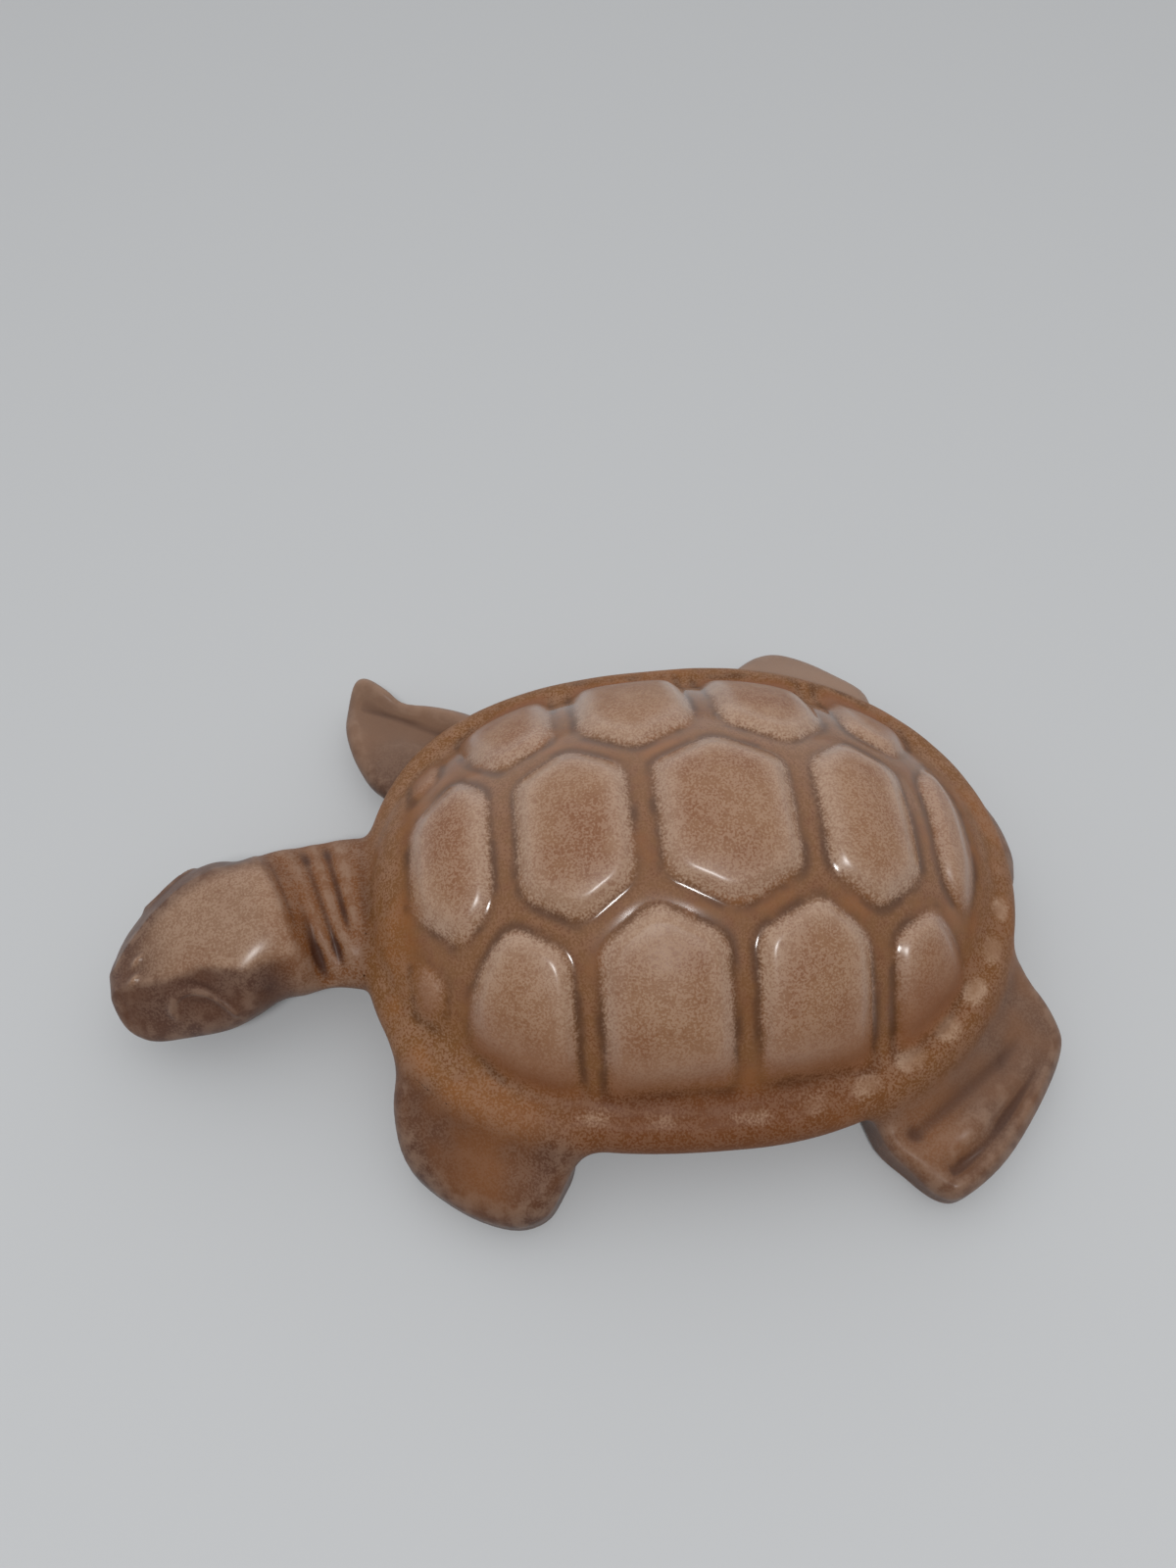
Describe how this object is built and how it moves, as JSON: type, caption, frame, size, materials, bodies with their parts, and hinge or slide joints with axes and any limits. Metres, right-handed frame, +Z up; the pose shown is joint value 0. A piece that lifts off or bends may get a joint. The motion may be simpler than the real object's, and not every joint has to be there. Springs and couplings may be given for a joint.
{
  "type": "turtle figurine",
  "caption": "Low glazed ceramic sea turtle figurine with a domed scuted shell, turned head and spread flippers, standing on a flat closed base.",
  "frame": {"origin": "middle of the flat foot under the shell, on the table", "axes": "+Z up, head towards -X, the turtle's left side towards -Y"},
  "size_m": [0.1565, 0.1045, 0.0406],
  "materials": {
    "shell_glaze": "glossy speckled tan glaze over honey brown grooves",
    "skin_glaze": "satin gloss mauve brown glaze",
    "base_clay": "brown glaze on the sides, dry foot"
  },
  "bodies": {
    "root": {"carapace": "shell_glaze", "plastron": "base_clay", "head_and_neck": "skin_glaze", "front_left_flipper": "skin_glaze", "front_right_flipper": "skin_glaze", "rear_left_flipper": "skin_glaze", "rear_right_flipper": "skin_glaze", "tail": "skin_glaze"}
  },
  "joints": []
}
